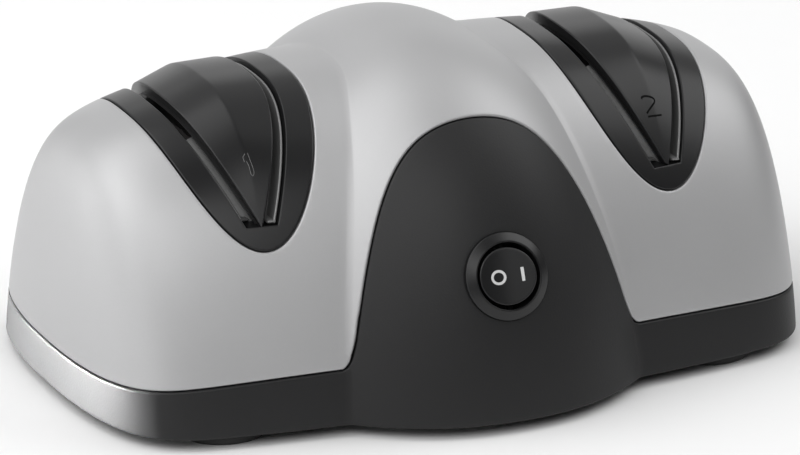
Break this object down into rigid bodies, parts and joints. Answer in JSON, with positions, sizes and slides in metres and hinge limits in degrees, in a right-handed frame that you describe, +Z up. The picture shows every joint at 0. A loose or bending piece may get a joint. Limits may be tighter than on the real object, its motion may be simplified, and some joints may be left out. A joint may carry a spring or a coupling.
{
  "type": "electric knife sharpener",
  "caption": "Free-standing motor-driven knife sharpener with a long rounded housing, slotted guide inserts over grinding wheels and a round rocker switch on its front panel.",
  "frame": {"origin": "centre of the footprint, on the plane that the feet stand on", "axes": "+X along the body from stage 1 to stage 2, -Y out of the front with the switch, +Z up"},
  "size_m": [0.2046, 0.1542, 0.0892],
  "materials": {
    "black_housing": "fine moulded grain, semi-matte",
    "silver_housing": "satin silver lacquer with a fine metallic grain",
    "black_insert": "smooth satin",
    "switch_black": "smooth, slightly glossy",
    "spring_steel": "bright rolled strip",
    "terminal_brass": "tinned brass",
    "lamination_steel": "stacked laminations",
    "bobbin_plastic": "moulded nylon",
    "winding_copper": "enamelled wire",
    "cast_bracket": "die-cast",
    "bearing_bronze": "sintered bronze",
    "shaft_steel": "ground",
    "fan_plastic": "moulded nylon",
    "hub_plastic": "moulded",
    "abrasive": "fine bonded abrasive",
    "bush_rubber": "soft moulded",
    "foot_rubber": "matte moulded",
    "screw_steel": "zinc-plated"
  },
  "bodies": {
    "housing": {"lower_housing": "black_housing", "upper_housing": "silver_housing", "guide_insert_1": "black_insert", "guide_insert_2": "black_insert", "spring_leaf_1_outer": "spring_steel", "spring_leaf_1_inner": "spring_steel", "spring_leaf_2_inner": "spring_steel", "spring_leaf_2_outer": "spring_steel", "switch_body": "switch_black", "switch_terminals": "terminal_brass", "motor_stator": "lamination_steel", "coil_bobbin": "bobbin_plastic", "coil_winding": "winding_copper", "bearing_bracket_1": "cast_bracket", "bearing_bracket_2": "cast_bracket", "bearing_1": "bearing_bronze", "bearing_2": "bearing_bronze", "cord_bush": "bush_rubber", "foot_1": "foot_rubber", "foot_2": "foot_rubber", "foot_3": "foot_rubber", "foot_4": "foot_rubber", "housing_screw_1": "screw_steel", "housing_screw_2": "screw_steel", "housing_screw_3": "screw_steel", "housing_screw_4": "screw_steel"},
    "rocker": {"switch_rocker": "switch_black"},
    "spindle": {"motor_shaft": "shaft_steel", "rotor_core": "lamination_steel", "cooling_fan": "fan_plastic", "wheel_hub_1": "hub_plastic", "wheel_hub_2": "hub_plastic", "grinding_wheel_1": "abrasive", "grinding_wheel_2": "abrasive"}
  },
  "joints": [
    {"name": "rocker_tilt", "type": "hinge", "parent": "housing", "child": "rocker", "pos_m": [0, -0.0659, 0.03943], "axis": [0, 0.3772, 0.9261], "range_deg": [0, 22]},
    {"name": "spindle_spin", "type": "hinge", "parent": "housing", "child": "spindle", "pos_m": [0, 0, 0.0472], "axis": [1, 0, 0], "continuous": true}
  ]
}
